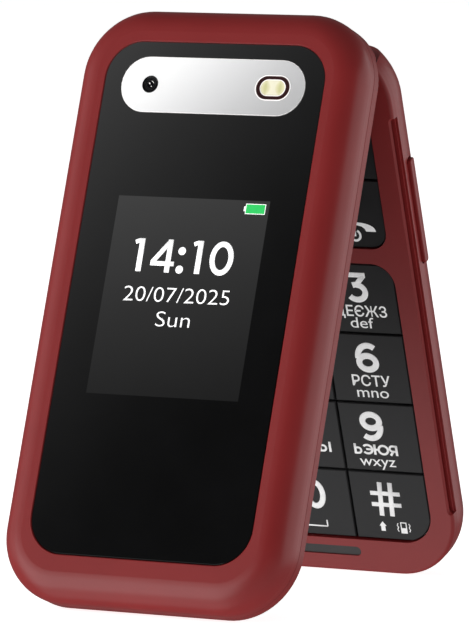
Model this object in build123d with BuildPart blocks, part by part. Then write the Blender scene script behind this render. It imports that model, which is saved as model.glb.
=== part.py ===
from build123d import *
import os
from math import asin, cos, hypot, pi, radians, sin

os.makedirs("parts", exist_ok=True)

# A clamshell phone that stands like a tent on the free ends of its two halves.
# +X runs along the hinge axis, -Y is in front of the lid, +Z is up.
# Each half has a frame of its own with its origin on the hinge axis:
#   x across, y (called "down") from the axis towards the free end, z outwards from the
#   parting plane. The lid's x runs towards -X, so both frames are right-handed.

# ------------------------------------------------------------------ driving dimensions
# overall form
opening_angle = 38.56  # between the two halves as the phone stands, degrees
widest_angle = 155.0  # between the two halves when the lid meets its stop
reach = 96.0  # hinge axis to the free end of either half
body_width = 53.4
plan_corner = 11.8
lid_depth = 8.0
base_depth = 10.0
lid_nose = 6.2  # how far the lid reaches past the hinge axis
base_nose = 3.5
lid_round = 4.6  # rounding of the lid's outer edge
base_round = 7.3
wall = 1.2
edge_break = 0.3

# clearances
face_gap = 0.2  # between the inner faces when the phone is shut
hinge_gap = 0.15  # between the knuckles, the barrel and their seats
sweep_gap = 0.2  # around the lid's hinge end as it swings
fit = 0.1  # between pieces that drop into each other
key_gap = 0.35  # between neighbouring keys
run_gap = 0.05  # running fit of shaft and pin, on the radius
press_gap = 0.02  # fixed pins and cans in their bores, on the radius

# lid
lid_seam = 2.1  # parting plane to the joint between inner frame and front cover
front_wall = 1.9
glass_border = 6.195  # side of the lid to the side of the glass
glass_start = 0.307  # distances along a half are measured from the hinge axis
glass_foot = 7.605  # a foot is the distance left to the free end
glass_corner = 6.3
glass_thickness = 0.95
glass_edge = 0.12
bed_edge = 0.15
pill_border = 3.255  # side of the glass to the end of the pill
pill_start = 2.891
pill_end = 12.529
pill_proud = 0.1
lens_inset = 5.45  # ends of the pill to the middle of the lens and of the flash
lens_radius = 1.29
flash_inset = 5.95
flash_ring_width = 6.3
flash_ring_height = 4.1
flash_width = 4.8
flash_height = 2.9
outer_screen_border = 3.505
outer_screen_start = 20.9
outer_screen_foot = 29.3
outer_screen_thickness = 1.7
inner_screen_border = 2.6
inner_screen_start = 17.0
inner_screen_foot = 10.4
inner_screen_thickness = 2.0
screen_corner = 0.5
window_border = 1.0
window_view_border = 2.6
window_thickness = 0.9
window_recess = 0.15
window_corner = 1.0
lid_board_border = 3.1
board_thickness = 0.8
board_corner = 1.0
earpiece_middle = 11.6
earpiece_width = 12.0
earpiece_length = 6.0
earpiece_thickness = 2.4
capsule_corner = 2.0
mesh_thickness = 0.3
mesh_recess = 0.5
ear_slot_width = 9.0
ear_slot_height = 1.4
magnet_size = (8.0, 3.0, 1.5)
magnet_foot = 6.0
bumper_radius = 1.2
bumper_foot = 2.8
bumper_offset = 13.0
bumper_depth = 0.6
bumper_level = 0.05
camera_size = 5.4
sensor_border = 1.2
counterbore_depth = 1.3

# hinge
cartridge_radius = 3.0
cartridge_gap = 3.8  # cartridge to hinge pin inside the barrel
shaft_radius = 1.6
shaft_length = 5.5
key_radius = 2.2
key_flat = 1.5
key_length = 5.2
pin_radius = 2.3
pin_bore = 1.7
pin_in_barrel = 8.0
bush_length = 4.1
bush_wall = 0.75
flex_radius = 1.3
flex_thickness = 0.25

# base
base_seam = 1.7
frame_round = 0.6
keypad_border = 4.46
keypad_gap = 3.04  # navigation cluster to number block
keypad_foot = 6.45
keypad_top_corner = 4.0
keypad_bottom_corner = 5.5
cluster_start = 10.6
cluster_end = 34.4
cluster_corner = 3.0
cluster_inset = 0.29
cluster_row = 22.0
key_recess = 0.35  # key tops below the inner face
key_thickness = 1.1
key_travel = 0.3
key_edge = 0.15
ring_width = 20.6
ring_corner = 8.0
ok_radius = 4.6
mat_thickness = 0.4
mat_inset = 1.0
floor_thickness = 0.6
floor_level = 3.9
cover_seam = 6.4
cover_start = 14.0
battery_border = 7.7
battery_start = 31.0
battery_foot = 11.0
battery_gap = 0.1
battery_corner = 2.0
battery_edge = 0.5
mic_bar_foot = 3.1
mic_bar_height = 1.75
mic_bar_width = 15.8
mic_bar_recess = 0.25
groove_start = 10.8
groove_foot = 12.3
groove_lip = 0.4  # height of the lip beside the inner face
groove_lip_inset = 0.68
groove_depth = 1.1
groove_ledge = 0.4  # height of the narrow ledge beside the seam
groove_ledge_inset = 0.35
groove_slope = 37.0  # of the lip, degrees from upright
side_key_start = 19.2
side_key_end = 38.0
side_key_height = 1.9
side_key_level = 3.95
side_key_corner = 0.6
side_key_edge = 0.2
side_key_gap = 0.25
side_key_proud = 0.6
side_key_thickness = 2.8
side_key_travel = 0.35
side_key_flange = 0.4
side_key_ear = 0.5
switch_length = 13.6
switch_dome = 0.9
usb_width = 8.94
usb_height = 3.2
usb_length = 7.3
usb_level = 4.3
usb_wall = 0.3
speaker_width = 16.0
speaker_length = 12.0
speaker_offset = 10.5
speaker_middle = 22.0
speaker_gap = 0.5  # over the speaker's mesh
slot_pitch = 1.9
slot_length = 9.6
nail_width = 10.0
nail_depth = 0.75
sim_width = 15.0
sim_length = 12.5
sim_thickness = 1.4
sim_rail = 1.0
shield_middle = 62.0
shield_length = 26.0
shield_width = 22.0
connector_width = 9.0
connector_thickness = 2.0
contact_pitch = 2.5
antenna_width = 10.0
antenna_inset = 6.6  # lower screws to the middle of the antenna
antenna_length = 3.8
antenna_thickness = 2.8
microphone_radius = 1.5
microphone_thickness = 1.3
microphone_offset = 6.6
tongue_width = 6.7
tongue_thickness = 0.7
motor_gap = 0.3  # motor to battery cover
motor_length = 8.0
motor_foot = 7.6
motor_end = 8.0
sim_offset = 11.5
connector_offset = 8.0
side_pocket = 3.2

# screws
screw_radius = 0.7
head_radius = 1.25
head_height = 0.8
boss_radius = 1.7
lid_screw_length = 3.8
base_screw_length = 2.3
lid_screw_insets = (4.7, 7.7)  # sides of the lid to the upper and the lower screws
lid_screw_start = 12.8
lid_screw_foot = 5.8
base_boss_radius = 1.3
base_screw_insets = (6.3, 8.3)
base_screw_foot = 4.6

# ------------------------------------------------------------------ stance and frames
half_angle = radians(opening_angle / 2)
inner_face = face_gap / 2
foot_level = inner_face + edge_break
front_reach = (reach - lid_round) * sin(half_angle) + (lid_depth - lid_round) * cos(half_angle) + lid_round
back_reach = (
    (reach - base_round) * sin(half_angle) + (base_depth - base_round) * cos(half_angle) + base_round
)
hinge_point = Vector(
    0,
    (front_reach - back_reach) / 2,
    reach * cos(half_angle) - foot_level * sin(half_angle),
)
lid_out = Vector(0, -cos(half_angle), sin(half_angle))
base_down = Vector(0, sin(half_angle), -cos(half_angle))
base_out = Vector(0, cos(half_angle), sin(half_angle))

lid_plane = Plane(origin=hinge_point, x_dir=(-1, 0, 0), z_dir=lid_out)
base_plane = Plane(origin=hinge_point, x_dir=(1, 0, 0), z_dir=base_out)
across = Plane(origin=hinge_point, x_dir=base_down, z_dir=(1, 0, 0))  # slices across the axis
lid_under = Plane(origin=hinge_point + lid_out * face_gap / 2, x_dir=(1, 0, 0), z_dir=-lid_out)
lid_axis = Axis(hinge_point, lid_out)
base_axis = Axis(hinge_point, base_out)
hinge_axis = Axis(hinge_point, (1, 0, 0))
lid_swing = Axis(hinge_point, (-1, 0, 0))  # opening the lid turns it this way

# ------------------------------------------------------------------ derived sizes
half_width = body_width / 2
barrel_half = half_width - plan_corner
barrel_radius = lid_nose - wall - hinge_gap
knuckle_start = barrel_half + 2 * hinge_gap
lid_sweep = hypot(lid_nose - lid_round, lid_depth - lid_round) + lid_round + sweep_gap
cartridge_length = 2 * barrel_half - pin_in_barrel - cartridge_gap
lid_inside = lid_depth - front_wall
base_inside = base_depth - wall + battery_gap
base_end = 0.9  # the base's outer shell stops this far short of the axis
cavity_start = lid_sweep + wall
lip_height = 1.0
lip_thickness = 0.9
lip_inset = wall + fit
glass_width = body_width - 2 * glass_border
glass_end = reach - glass_foot
pill_width = glass_width - 2 * pill_border
pill_height = pill_end - pill_start
pill_middle = (pill_start + pill_end) / 2
lens_offset = pill_width / 2 - lens_inset
flash_offset = pill_width / 2 - flash_inset
glass_back = lid_depth - glass_thickness
ledge_level = glass_back - fit / 2
outer_screen_width = glass_width - 2 * outer_screen_border
outer_screen_length = reach - outer_screen_foot - outer_screen_start
outer_screen_middle = outer_screen_start + outer_screen_length / 2
inner_screen_width = body_width - 2 * inner_screen_border
inner_screen_length = reach - inner_screen_foot - inner_screen_start
inner_screen_middle = inner_screen_start + inner_screen_length / 2
window_width = inner_screen_width - 2 * window_border
window_length = inner_screen_length - 2 * window_border
inner_screen_level = lid_seam + fit
lid_board_level = inner_screen_level + inner_screen_thickness + fit
outer_screen_level = lid_board_level + board_thickness + fit
key_level = inner_face + key_recess
mat_level = key_level + key_thickness + key_travel + fit
base_board_level = mat_level + mat_thickness + fit
battery_level = floor_level + floor_thickness + battery_gap
battery_thickness = base_inside - 2 * battery_gap - battery_level
speaker_thickness = base_inside - battery_level - mesh_thickness - fit - speaker_gap
motor_radius = (base_inside - battery_level - motor_gap) / 2
battery_width = body_width - 2 * battery_border
battery_length = reach - battery_foot - battery_start
keypad_width = body_width - 2 * keypad_border
keypad_start = cluster_end + keypad_gap
keypad_end = reach - keypad_foot
cluster_width = keypad_width - 2 * cluster_inset
mic_bar_end = reach - mic_bar_foot
mic_bar_start = mic_bar_end - mic_bar_height
mic_middle = mic_bar_end - mic_bar_height / 2
groove_middle = (groove_start + reach - groove_foot) / 2
groove_length = reach - groove_foot - groove_start
key_pitch_x = keypad_width / 3
key_pitch_y = (keypad_end - keypad_start) / 4
side_key_length = side_key_end - side_key_start
side_key_middle = (side_key_start + side_key_end) / 2
side_key_root = half_width + side_key_proud - side_key_thickness
lid_screw_places = [
    (half_width - lid_screw_insets[0], lid_screw_start),
    (half_width - lid_screw_insets[1], reach - lid_screw_foot),
]
base_screw_places = [
    (half_width - base_screw_insets[0], (cluster_end + keypad_start) / 2),
    (half_width - base_screw_insets[1], reach - base_screw_foot),
]
base_board_width = 2 * (base_screw_places[0][0] - base_boss_radius - 3 * fit)
bush_radius = pin_radius + run_gap + bush_wall
flap = 1.0  # overshoot of cutting tools past the surface that they open


# ------------------------------------------------------------------ shared shapes
def plan(start, end, width, corner, mode=Mode.ADD):
    """Rounded plan outline between two distances from the hinge axis."""
    with Locations((0, (start + end) / 2)):
        RectangleRounded(width, end - start, corner, mode=mode)


def envelope(plane, nose, depth, rounding, inset=0.0):
    """One half's outer form, from its parting plane outwards, drawn in by inset."""
    with BuildPart() as form:
        with BuildSketch(plane):
            plan(inset - nose, reach - inset, body_width - 2 * inset, plan_corner - inset)
        extrude(amount=depth)
        outer_face = form.faces().sort_by(Axis(plane.origin, plane.z_dir))[-1]
        fillet(outer_face.edges(), rounding - inset)
    return form.part


def axle(start, end, radius):
    """A round solid on the hinge axis between two places across the phone."""
    with BuildPart() as form:
        with BuildSketch(across.offset(start)):
            Circle(radius)
        extrude(amount=end - start)
    return form.part


def turned_end(inner_end, outer_end, radius, corner):
    """Two mirrored solids of revolution about the hinge axis with rounded outer corners."""
    bend = outer_end - corner
    last_angle = asin(max(0.0, corner - radius) / corner)
    angles = [pi / 2 + (last_angle - pi / 2) * step / 6 for step in range(7)]
    curve = [(bend + corner * cos(angle), corner - radius - corner * sin(angle)) for angle in angles]
    rest = [(0, 0), (0, -radius), curve[0]]
    if radius > corner:
        rest.insert(0, (outer_end, 0))
    with BuildPart() as form:
        with BuildSketch(base_plane):
            with BuildLine():
                Spline(*curve, tangents=[(1, 0), (sin(last_angle), cos(last_angle))])
                Polyline(curve[-1], *rest)
            make_face()
            if inner_end > 0:
                Rectangle(2 * inner_end, 4 * radius, mode=Mode.SUBTRACT)
        revolve(axis=hinge_axis)
        mirror(about=Plane.YZ)
    return form.part


def knuckle_form(gap, inner_end):
    """The lid's rounded end turned about the hinge axis, grown by a gap."""
    return turned_end(inner_end, half_width + gap, lid_nose + gap, plan_corner + gap)


def lid_knuckles():
    """The two round knuckles of the lid, up to the seam with the front cover."""
    with BuildPart() as form:
        add(knuckle_form(0, knuckle_start))
        split(bisect_by=lid_plane.offset(lid_seam - edge_break / 2), keep=Keep.BOTTOM)
    return form.part


def slab(plane, level, thickness, middle, length, width, corner=0.0, offset=0.0):
    """A flat piece lying parallel to one half's parting plane."""
    with BuildPart() as form:
        with BuildSketch(plane.offset(level)):
            with Locations((offset, middle)):
                if corner > 0:
                    RectangleRounded(width, length, corner)
                else:
                    Rectangle(width, length)
        extrude(amount=thickness)
    return form.part


def capsule_slab(plane, level, thickness, middle, length, height, offset=0.0):
    """A flat piece with round ends, long way across the phone."""
    with BuildPart() as form:
        with BuildSketch(plane.offset(level)):
            with Locations((offset, middle)):
                SlotOverall(length, height)
        extrude(amount=thickness)
    return form.part


def screws(plane, places, head_level, shank_length, head_side):
    """Pan-head screws at mirrored places; the head stands on the given side of its level."""
    with BuildPart() as form:
        spots = [(side * x, y) for x, y in places for side in (-1, 1)]
        with BuildSketch(plane.offset(head_level)):
            with Locations(*spots):
                Circle(head_radius)
        extrude(amount=head_side * head_height)
        with BuildSketch(plane.offset(head_level)):
            with Locations(*spots):
                Circle(screw_radius)
        extrude(amount=-head_side * shank_length)
    return form.part


def write(part, name):
    part.label = name
    export_step(part, f"parts/{name}.step")


# ------------------------------------------------------------------ lid: front cover
lid_spots = [(side * x, y) for x, y in lid_screw_places for side in (-1, 1)]
bumper_places = [(side * bumper_offset, reach - bumper_foot) for side in (-1, 1)]

with BuildPart() as lid_front_cover:
    add(envelope(lid_plane, lid_nose, lid_depth, lid_round))
    add(envelope(lid_plane, lid_nose, lid_inside, lid_round, wall), mode=Mode.SUBTRACT)
    split(bisect_by=lid_plane.offset(lid_seam), keep=Keep.TOP)
    with BuildSketch(lid_plane.offset(lid_seam)):
        with Locations(*lid_spots):
            Circle(boss_radius)
    extrude(amount=lid_inside - lid_seam + front_wall / 2)
    with BuildSketch(lid_plane.offset(lid_seam)):
        with Locations(*lid_spots):
            Circle(screw_radius + press_gap)
    extrude(amount=lid_inside - lid_seam, mode=Mode.SUBTRACT)
    # bed of the outer glass, with a fine bright lip round it
    with BuildSketch(lid_plane.offset(lid_depth)):
        plan(glass_start - fit, glass_end + fit, glass_width + 2 * fit, glass_corner + fit)
    extrude(amount=ledge_level - lid_depth, mode=Mode.SUBTRACT)
    # windows in the bed for the screen, the camera and the flash
    with BuildSketch(lid_plane.offset(ledge_level)):
        with Locations((0, outer_screen_middle)):
            Rectangle(outer_screen_width + 4 * fit, outer_screen_length + 4 * fit)
        with Locations((lens_offset, pill_middle)):
            Circle(lens_radius + sensor_border + 3 * fit)
        with Locations((-flash_offset, pill_middle)):
            SlotOverall(flash_width, flash_height)
    extrude(amount=-front_wall, mode=Mode.SUBTRACT)
    bed_rim = lid_front_cover.faces().sort_by(lid_axis)[-1].inner_wires()[0]
    chamfer(bed_rim.edges(), bed_edge)
write(lid_front_cover.part, "lid_front_cover")

# ------------------------------------------------------------------ lid: inner frame
with BuildPart() as lid_inner_frame:
    with BuildSketch(lid_plane.offset(inner_face)):
        plan(-lid_nose, reach, body_width, plan_corner)
    extrude(amount=lid_seam - inner_face)
    chamfer(lid_inner_frame.faces().sort_by(lid_axis)[0].edges(), edge_break)
    chamfer(lid_inner_frame.faces().sort_by(lid_axis)[-1].edges(), edge_break / 2)
    # locating lip inside the front cover
    deeper = lip_inset + lip_thickness
    with BuildSketch(lid_plane.offset(lid_seam)):
        plan(lip_inset - lid_nose, reach - lip_inset, body_width - 2 * lip_inset, plan_corner - lip_inset)
        plan(
            deeper - lid_nose,
            reach - deeper,
            body_width - 2 * deeper,
            plan_corner - deeper,
            mode=Mode.SUBTRACT,
        )
    extrude(amount=lip_height)
    # knuckles: the rounded end turned about the hinge axis below the seam, a core above it
    add(lid_knuckles())
    add(knuckle_form(-lip_inset, knuckle_start))
    # channel for the barrel of the base
    add(axle(-knuckle_start, knuckle_start, lid_nose - wall), mode=Mode.SUBTRACT)
    # bed and view of the inner window
    with BuildSketch(lid_plane.offset(inner_face)):
        with Locations((0, inner_screen_middle)):
            RectangleRounded(window_width + 2 * fit, window_length + 2 * fit, window_corner + fit)
    extrude(amount=window_recess + window_thickness + fit / 2, mode=Mode.SUBTRACT)
    with BuildSketch(lid_plane.offset(inner_face)):
        with Locations((0, inner_screen_middle)):
            Rectangle(window_width - 2 * window_view_border, window_length - 2 * window_view_border)
        with Locations((0, earpiece_middle)):
            SlotOverall(ear_slot_width, ear_slot_height)
    extrude(amount=lid_seam, mode=Mode.SUBTRACT)
    # beds of the bumpers
    with BuildSketch(lid_plane.offset(inner_face)):
        with Locations(*bumper_places):
            Circle(bumper_radius + fit / 2)
    extrude(amount=bumper_depth, mode=Mode.SUBTRACT)
    # screws go in from the inner face
    with Locations(*[lid_under.location * Location((x, y, 0)) for x, y in lid_spots]):
        CounterBoreHole(screw_radius + fit, head_radius + fit, counterbore_depth, depth=lid_depth / 2)
    # seats of the bush on one side and of the keyed hinge shaft on the other
    add(
        axle(-(knuckle_start + bush_length + 2 * fit), -knuckle_start, bush_radius + press_gap),
        mode=Mode.SUBTRACT,
    )
    with BuildSketch(across.offset(knuckle_start)):
        Circle(key_radius + press_gap)
        Rectangle(2 * (key_flat + press_gap), 4 * key_radius, mode=Mode.INTERSECT)
    extrude(amount=key_length + fit, mode=Mode.SUBTRACT)
write(lid_inner_frame.part, "lid_inner_frame")

# ------------------------------------------------------------------ lid: glass, camera and flash
with BuildPart() as outer_glass:
    with BuildSketch(lid_plane.offset(glass_back)):
        plan(glass_start, glass_end, glass_width, glass_corner)
        with Locations((0, pill_middle)):
            SlotOverall(pill_width + fit, pill_height + fit, mode=Mode.SUBTRACT)
    extrude(amount=glass_thickness)
    chamfer(outer_glass.faces().sort_by(lid_axis)[-1].outer_wire().edges(), glass_edge)
write(outer_glass.part, "outer_glass")

with BuildPart() as camera_plate:
    with BuildSketch(lid_plane.offset(glass_back)):
        with Locations((0, pill_middle)):
            SlotOverall(pill_width, pill_height)
        with Locations((lens_offset, pill_middle)):
            Circle(lens_radius, mode=Mode.SUBTRACT)
        with Locations((-flash_offset, pill_middle)):
            SlotOverall(flash_ring_width, flash_ring_height, mode=Mode.SUBTRACT)
    extrude(amount=glass_thickness + pill_proud)
    chamfer(camera_plate.faces().sort_by(lid_axis)[-1].outer_wire().edges(), pill_proud)
write(camera_plate.part, "camera_plate")

with BuildPart() as camera_lens:
    with BuildSketch(lid_plane.offset(glass_back)):
        with Locations((lens_offset, pill_middle)):
            Circle(lens_radius - fit / 2)
    extrude(amount=glass_thickness)
    chamfer(camera_lens.faces().sort_by(lid_axis)[-1].edges(), pill_proud)
write(camera_lens.part, "camera_lens")

with BuildPart() as camera_module:
    with BuildSketch(lid_plane.offset(lid_seam + 2 * fit)):
        with Locations((lens_offset, pill_middle)):
            Rectangle(camera_size, camera_size)
    extrude(amount=lid_inside - lid_seam - 3 * fit)
    with BuildSketch(lid_plane.offset(lid_inside - fit)):
        with Locations((lens_offset, pill_middle)):
            Circle(lens_radius + sensor_border)
    extrude(amount=ledge_level - lid_inside)
write(camera_module.part, "camera_module")

with BuildPart() as flash_ring:
    with BuildSketch(lid_plane.offset(glass_back)):
        with Locations((-flash_offset, pill_middle)):
            SlotOverall(flash_ring_width - fit, flash_ring_height - fit)
            SlotOverall(flash_width, flash_height, mode=Mode.SUBTRACT)
    extrude(amount=glass_thickness + 1.5 * pill_proud)
write(flash_ring.part, "flash_ring")

write(
    capsule_slab(
        lid_plane,
        lid_inside,
        lid_depth - lid_inside + pill_proud,
        pill_middle,
        flash_width - fit,
        flash_height - fit,
        -flash_offset,
    ),
    "flash_lens",
)

# ------------------------------------------------------------------ lid: screens and inner pieces
outer_display = slab(
    lid_plane,
    outer_screen_level,
    outer_screen_thickness,
    outer_screen_middle,
    outer_screen_length,
    outer_screen_width,
    screen_corner,
)
write(outer_display, "outer_display")

inner_display = slab(
    lid_plane,
    inner_screen_level,
    inner_screen_thickness,
    inner_screen_middle,
    inner_screen_length,
    inner_screen_width,
    screen_corner,
)
write(inner_display, "inner_display")

inner_window = slab(
    lid_plane,
    inner_face + window_recess,
    window_thickness,
    inner_screen_middle,
    window_length,
    window_width,
    window_corner,
)
write(inner_window, "inner_window")

lid_board_start = lid_screw_places[0][1] + boss_radius + 2 * fit
lid_board_end = lid_screw_places[1][1] - boss_radius - 2 * fit
lid_board = slab(
    lid_plane,
    lid_board_level,
    board_thickness,
    (lid_board_start + lid_board_end) / 2,
    lid_board_end - lid_board_start,
    inner_screen_width - 2 * lid_board_border,
    board_corner,
)
write(lid_board, "lid_board")

earpiece = slab(
    lid_plane,
    lid_seam + fit,
    earpiece_thickness,
    earpiece_middle,
    earpiece_length,
    earpiece_width,
    capsule_corner,
)
write(earpiece, "earpiece")

earpiece_mesh = capsule_slab(
    lid_plane,
    inner_face + mesh_recess,
    mesh_thickness,
    earpiece_middle,
    ear_slot_width - fit,
    ear_slot_height - fit,
)
write(earpiece_mesh, "earpiece_mesh")

lid_magnet = slab(
    lid_plane,
    lid_seam + fit,
    magnet_size[2],
    reach - magnet_foot,
    magnet_size[1],
    magnet_size[0],
)
write(lid_magnet, "lid_magnet")

with BuildPart() as lid_bumpers:
    with BuildSketch(lid_plane.offset(bumper_level)):
        with Locations(*bumper_places):
            Circle(bumper_radius)
    extrude(amount=inner_face + bumper_depth - bumper_level)
write(lid_bumpers.part, "lid_bumpers")

lid_screws = screws(lid_plane, lid_screw_places, inner_face + counterbore_depth, lid_screw_length, -1)
write(lid_screws, "lid_screws")

# ------------------------------------------------------------------ hinge
with BuildPart() as hinge_cartridge:
    add(axle(barrel_half - cartridge_length, barrel_half, cartridge_radius))
    add(axle(barrel_half - shaft_length, barrel_half, shaft_radius + run_gap), mode=Mode.SUBTRACT)
write(hinge_cartridge.part, "hinge_cartridge")

with BuildPart() as hinge_shaft:
    add(axle(barrel_half - shaft_length + fit, knuckle_start, shaft_radius))
    with BuildSketch(across.offset(knuckle_start)):
        Circle(key_radius)
        Rectangle(2 * key_flat, 4 * key_radius, mode=Mode.INTERSECT)
    extrude(amount=key_length)
write(hinge_shaft.part, "hinge_shaft")

with BuildPart() as hinge_pin:
    add(axle(-(knuckle_start + bush_length), pin_in_barrel - barrel_half, pin_radius))
    add(axle(-(knuckle_start + bush_length), pin_in_barrel - barrel_half, pin_bore), mode=Mode.SUBTRACT)
write(hinge_pin.part, "hinge_pin")

with BuildPart() as hinge_bush:
    add(axle(-(knuckle_start + bush_length), -knuckle_start, bush_radius))
    add(axle(-(knuckle_start + bush_length), -knuckle_start, pin_radius + run_gap), mode=Mode.SUBTRACT)
write(hinge_bush.part, "hinge_bush")

with BuildPart() as hinge_flex:
    with BuildSketch(across.offset(-(knuckle_start + bush_length))):
        Circle(flex_radius)
        Circle(flex_radius - flex_thickness, mode=Mode.SUBTRACT)
        with Locations((flex_radius, 0)):
            Rectangle(flex_radius, flex_radius / 2, mode=Mode.SUBTRACT)
    extrude(amount=knuckle_start + bush_length + pin_in_barrel - barrel_half)
write(hinge_flex.part, "hinge_flex")

# ------------------------------------------------------------------ base: front frame
base_spots = [(side * x, y) for x, y in base_screw_places for side in (-1, 1)]


def keypad_block(grow):
    """Outline of the whole number block, grown evenly."""
    middle = (keypad_start + keypad_end) / 2
    with BuildSketch(mode=Mode.PRIVATE) as block:
        with Locations((0, middle)):
            Rectangle(keypad_width + 2 * grow, keypad_end - keypad_start + 2 * grow)
        fillet(block.vertices().group_by(Axis.Y)[0], keypad_top_corner + grow)
        fillet(block.vertices().group_by(Axis.Y)[-1], keypad_bottom_corner + grow)
    return block.sketch


def cluster_block(grow):
    """Outline of the navigation cluster, grown evenly."""
    with BuildSketch(mode=Mode.PRIVATE) as block:
        plan(cluster_start - grow, cluster_end + grow, cluster_width + 2 * grow, cluster_corner + grow)
    return block.sketch


def groove_band(depth):
    """The two long bands of the side grooves, reaching a given depth into the frame."""
    with Locations((-half_width, groove_middle), (half_width, groove_middle)):
        RectangleRounded(2 * depth, groove_length, 0.9 * depth)


with BuildPart() as base_front_frame:
    with BuildSketch(base_plane.offset(inner_face)):
        plan(-base_nose, reach, body_width, plan_corner)
    extrude(amount=base_seam - inner_face)
    fillet(base_front_frame.faces().sort_by(base_axis)[0].edges(), frame_round)
    # locating lip inside the rear housing
    with BuildSketch(base_plane.offset(base_seam)):
        plan(
            cavity_start + fit,
            reach - lip_inset,
            body_width - 2 * lip_inset,
            plan_corner - lip_inset,
        )
        plan(
            cavity_start + fit + lip_thickness,
            reach - lip_inset - lip_thickness,
            body_width - 2 * lip_inset - 2 * lip_thickness,
            plan_corner - lip_inset - lip_thickness,
            mode=Mode.SUBTRACT,
        )
        with Locations((0, reach)):
            Rectangle(usb_width + 1.0, 4 * wall, mode=Mode.SUBTRACT)
        with Locations((0, cavity_start)):
            Rectangle(body_width, 2 * (plan_corner - lip_inset), mode=Mode.SUBTRACT)
    extrude(amount=lip_height)
    with BuildSketch(base_plane.offset(base_seam)):
        with Locations(*base_spots):
            Circle(base_boss_radius)
    extrude(amount=floor_level - base_seam - fit / 2)
    # seat of the lid's knuckles, then the neck and the barrel between them
    add(knuckle_form(hinge_gap, 0), mode=Mode.SUBTRACT)
    with BuildSketch(base_plane.offset(inner_face)):
        with Locations((0, lid_nose / 2 + hinge_gap)):
            Rectangle(2 * barrel_half, lid_nose + 2 * hinge_gap)
    extrude(amount=base_seam - inner_face)
    add(axle(-barrel_half, barrel_half, barrel_radius))
    add(
        axle(barrel_half - cartridge_length - fit, barrel_half, cartridge_radius + press_gap),
        mode=Mode.SUBTRACT,
    )
    add(axle(-barrel_half, pin_in_barrel - barrel_half + fit, pin_radius + press_gap), mode=Mode.SUBTRACT)
    # openings for the keys and the microphone bar
    with BuildSketch(base_plane.offset(inner_face)):
        add(keypad_block(key_gap / 2))
        add(cluster_block(key_gap / 2))
        with Locations((0, mic_middle)):
            SlotOverall(mic_bar_width, mic_bar_height)
    extrude(amount=base_seam, mode=Mode.SUBTRACT)
    # pilot holes in the bosses
    with BuildSketch(base_plane.offset(base_seam)):
        with Locations(*base_spots):
            Circle(screw_radius + press_gap)
    extrude(amount=floor_level, mode=Mode.SUBTRACT)
    # long shadow groove along both sides, between a sloping lip and a ledge beside the seam
    lip_top = inner_face + groove_lip
    ledge_start = base_seam - groove_ledge
    with BuildSketch(base_plane.offset(lip_top)):
        groove_band(groove_lip_inset)
    extrude(amount=-groove_lip, taper=-groove_slope, mode=Mode.SUBTRACT)
    with BuildSketch(base_plane.offset(lip_top)):
        groove_band(groove_depth)
    extrude(amount=ledge_start - lip_top, mode=Mode.SUBTRACT)
    with BuildSketch(base_plane.offset(ledge_start)):
        groove_band(groove_ledge_inset)
    extrude(amount=groove_ledge, mode=Mode.SUBTRACT)
write(base_front_frame.part, "base_front_frame")


# ------------------------------------------------------------------ base: rear housing and cover
def base_slice(start, end, level, top, inset=0.0):
    """The part of the base's outer form between two distances and two levels."""
    with BuildPart() as form:
        add(envelope(base_plane, base_nose, base_depth - inset, base_round, inset))
        with BuildSketch(base_plane.offset(level)):
            with Locations((0, (start + end) / 2)):
                Rectangle(2 * body_width, end - start)
        extrude(amount=top - level, mode=Mode.INTERSECT)
    return form.part


free_end = Plane(origin=hinge_point + base_down * reach, x_dir=(1, 0, 0), z_dir=base_down)

with BuildPart() as rear_housing:
    add(base_slice(base_end, reach + flap, base_seam, base_depth + flap))
    add(base_slice(cavity_start, reach + flap, base_seam - flap, base_depth, wall), mode=Mode.SUBTRACT)
    # room for the knuckles, and for the lid's hinge end where the widest opening takes it
    add(knuckle_form(hinge_gap, 0), mode=Mode.SUBTRACT)
    add(
        envelope(lid_plane, lid_nose, lid_depth + sweep_gap, lid_round, -sweep_gap).rotate(
            lid_swing, widest_angle - opening_angle
        ),
        mode=Mode.SUBTRACT,
    )
    # floor under the battery and the wall that ends the battery cover
    add(base_slice(cavity_start - wall / 2, reach, floor_level, floor_level + floor_thickness, wall / 2))
    add(base_slice(cover_start - wall, cover_start, floor_level, base_depth, wall / 2))
    with BuildSketch(base_plane.offset(cover_seam)):
        with Locations((0, cover_start + reach / 2)):
            Rectangle(2 * body_width, reach)
    extrude(amount=base_depth, mode=Mode.SUBTRACT)
    # charging socket
    with BuildSketch(free_end):
        with Locations((0, -usb_level)):
            SlotOverall(usb_width + 2 * fit, usb_height + 2 * fit)
    extrude(amount=-2 * wall, mode=Mode.SUBTRACT)
    with BuildSketch(base_plane.offset(floor_level - flap)):
        with Locations((0, reach - wall / 2 - usb_length / 2)):
            Rectangle(usb_width + 2 * fit, usb_length + 4 * fit)
    extrude(amount=floor_thickness + 2 * flap, mode=Mode.SUBTRACT)
    # volume key and its switch
    with BuildSketch(across.offset(half_width - 2 * wall)):
        with Locations((side_key_middle, side_key_level)):
            RectangleRounded(
                side_key_length + 2 * side_key_gap,
                side_key_height + 2 * side_key_gap,
                side_key_corner + side_key_gap,
            )
    extrude(amount=4 * wall, mode=Mode.SUBTRACT)
    with BuildSketch(base_plane.offset(floor_level - flap)):
        with Locations((half_width - wall - side_pocket / 2, side_key_middle)):
            Rectangle(side_pocket, side_key_length + 2 * side_key_ear + 4 * fit)
    extrude(amount=floor_thickness + 2 * flap, mode=Mode.SUBTRACT)
    with BuildSketch(base_plane.offset(floor_level)):
        with Locations(*base_spots):
            Circle(screw_radius + fit)
    extrude(amount=floor_thickness, mode=Mode.SUBTRACT)
write(rear_housing.part, "rear_housing")

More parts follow.
